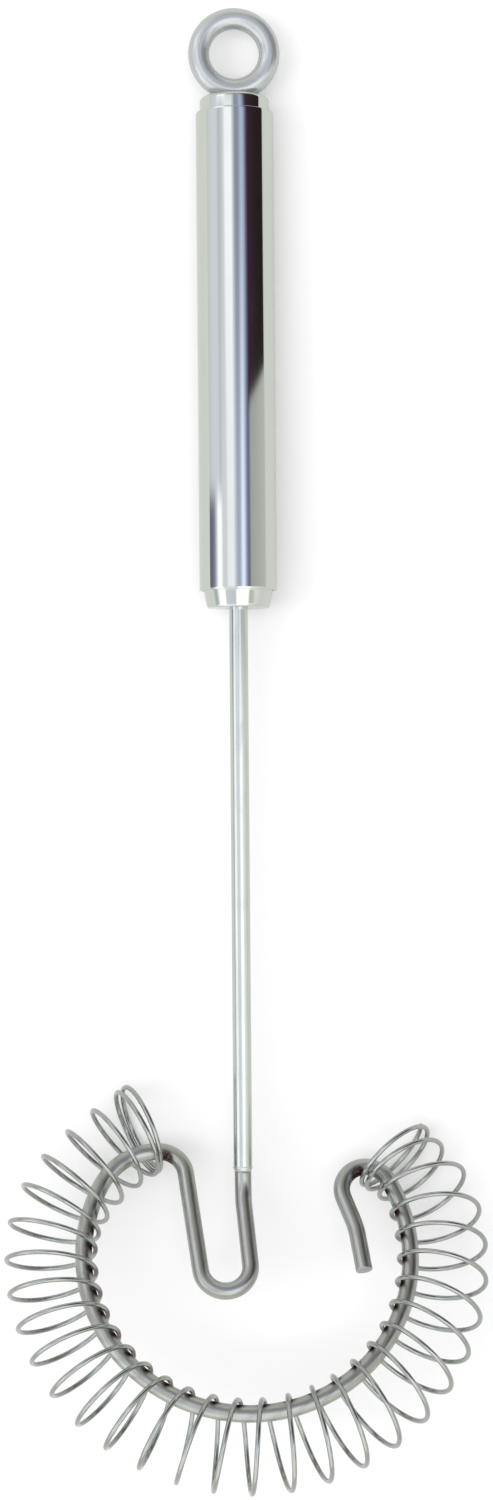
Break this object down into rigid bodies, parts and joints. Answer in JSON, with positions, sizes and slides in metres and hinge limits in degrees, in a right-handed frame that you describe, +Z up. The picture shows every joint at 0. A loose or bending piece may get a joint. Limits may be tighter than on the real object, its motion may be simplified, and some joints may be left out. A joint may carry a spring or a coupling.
{
  "type": "sauce whisk",
  "caption": "Coil whisk: round tube handle with a hanging ring, thin straight shaft, and a wire bent up into an open ring that carries a loose coil spring.",
  "frame": {"origin": "middle of the bounding box in plan, on the table that the whisk lies on", "axes": "+Y along the whisk towards the hanging ring, +Z up from the table towards the open face of the coiled head, +X to the right with the hook on the right"},
  "size_m": [0.0862, 0.26, 0.047],
  "materials": {
    "polished_steel": "mirror polished stainless steel",
    "bright_steel": "bright drawn stainless steel",
    "wire_steel": "satin drawn stainless wire",
    "spring_steel": "bright spring wire",
    "weld": "ground weld metal"
  },
  "bodies": {
    "whisk_frame": {"hanging_ring": "bright_steel", "top_plug": "polished_steel", "handle_tube": "polished_steel", "ferrule": "polished_steel", "tang_weld": "weld", "shaft": "bright_steel", "seam_weld": "weld", "frame_wire": "wire_steel"},
    "coil": {"whisk_coil": "spring_steel"}
  },
  "joints": [
    {"name": "coil_slip", "type": "hinge", "parent": "whisk_frame", "child": "coil", "pos_m": [0.00001, -0.09252, 0.01981], "axis": [0.0502, 0.5423, 0.8387], "range_deg": [-2, 1.25]}
  ]
}
